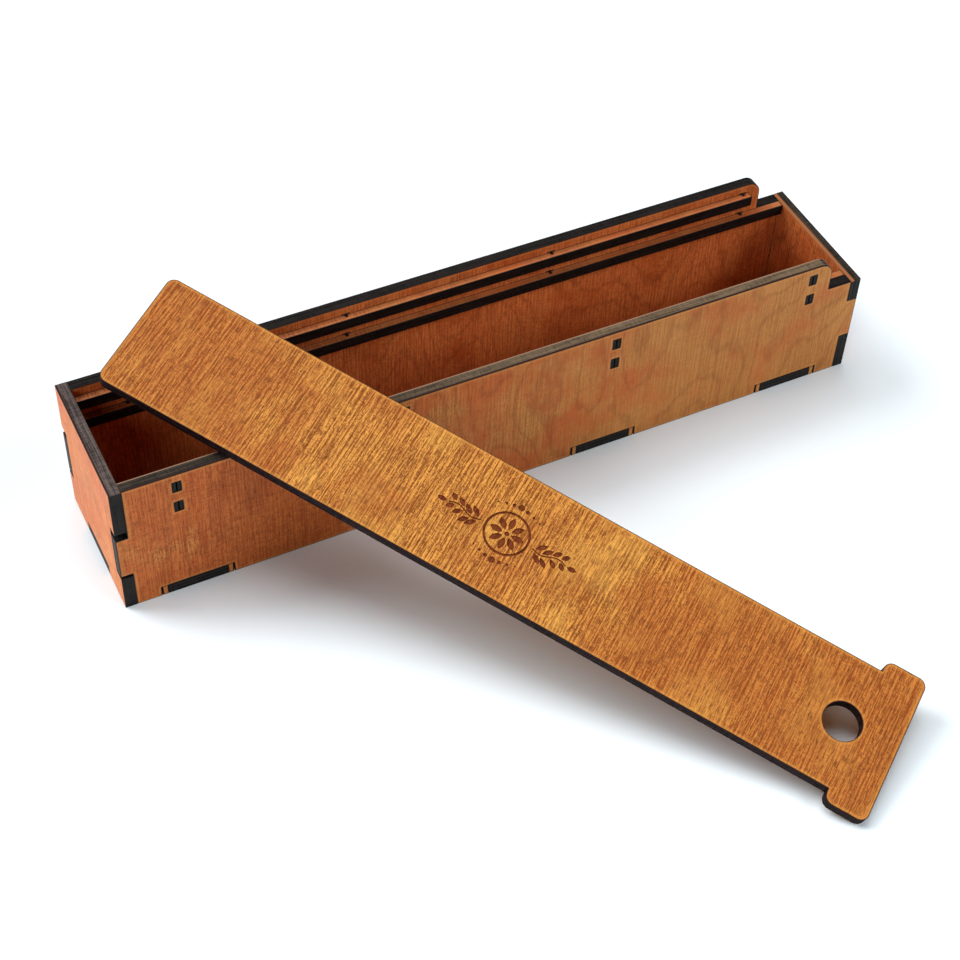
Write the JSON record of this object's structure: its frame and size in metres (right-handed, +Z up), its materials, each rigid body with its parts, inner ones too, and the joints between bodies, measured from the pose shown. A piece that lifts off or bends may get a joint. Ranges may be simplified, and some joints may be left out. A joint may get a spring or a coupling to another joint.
{
  "type": "keepsake box",
  "caption": "Long narrow laser-cut plywood keepsake box with pressed finger joints and a flat slide-in lid, shown taken off and leaning across it.",
  "frame": {"origin": "centre of the box's underside, on the surface that the box stands on; the leaning lid isn't counted in that centre", "axes": "+X along the box, towards the lower end where the lid slides in; +Y towards the back wall, so the leaning lid's head lies on the -Y side; +Z up"},
  "size_m": [0.273, 0.2287, 0.0769],
  "materials": {
    "wall_ply": "orange-brown stained plywood with a satin oil finish, edges charred dark by the laser",
    "end_ply": "lighter salmon-orange stained plywood, satin, edges charred dark by the laser",
    "floor_ply": "deep red-brown stained plywood, satin, edges charred dark by the laser",
    "rail_ply": "brown stained plywood strips, satin, edges charred black by the laser",
    "lid_ply": "golden orange stained plywood with fine cross grain, satin, edges charred dark by the laser"
  },
  "bodies": {
    "box": {"front_wall": "wall_ply", "back_wall": "wall_ply", "left_end": "end_ply", "right_end": "end_ply", "bottom_panel": "floor_ply", "front_rail_lower": "rail_ply", "front_rail_upper": "rail_ply", "back_rail_lower": "rail_ply", "back_rail_upper": "rail_ply"},
    "lid": {"lid": "lid_ply"}
  },
  "joints": [
    {"name": "lid_lift", "type": "slide", "parent": "box", "child": "lid", "axis": [0, 0, 1], "range_m": [0, 0.08]}
  ]
}
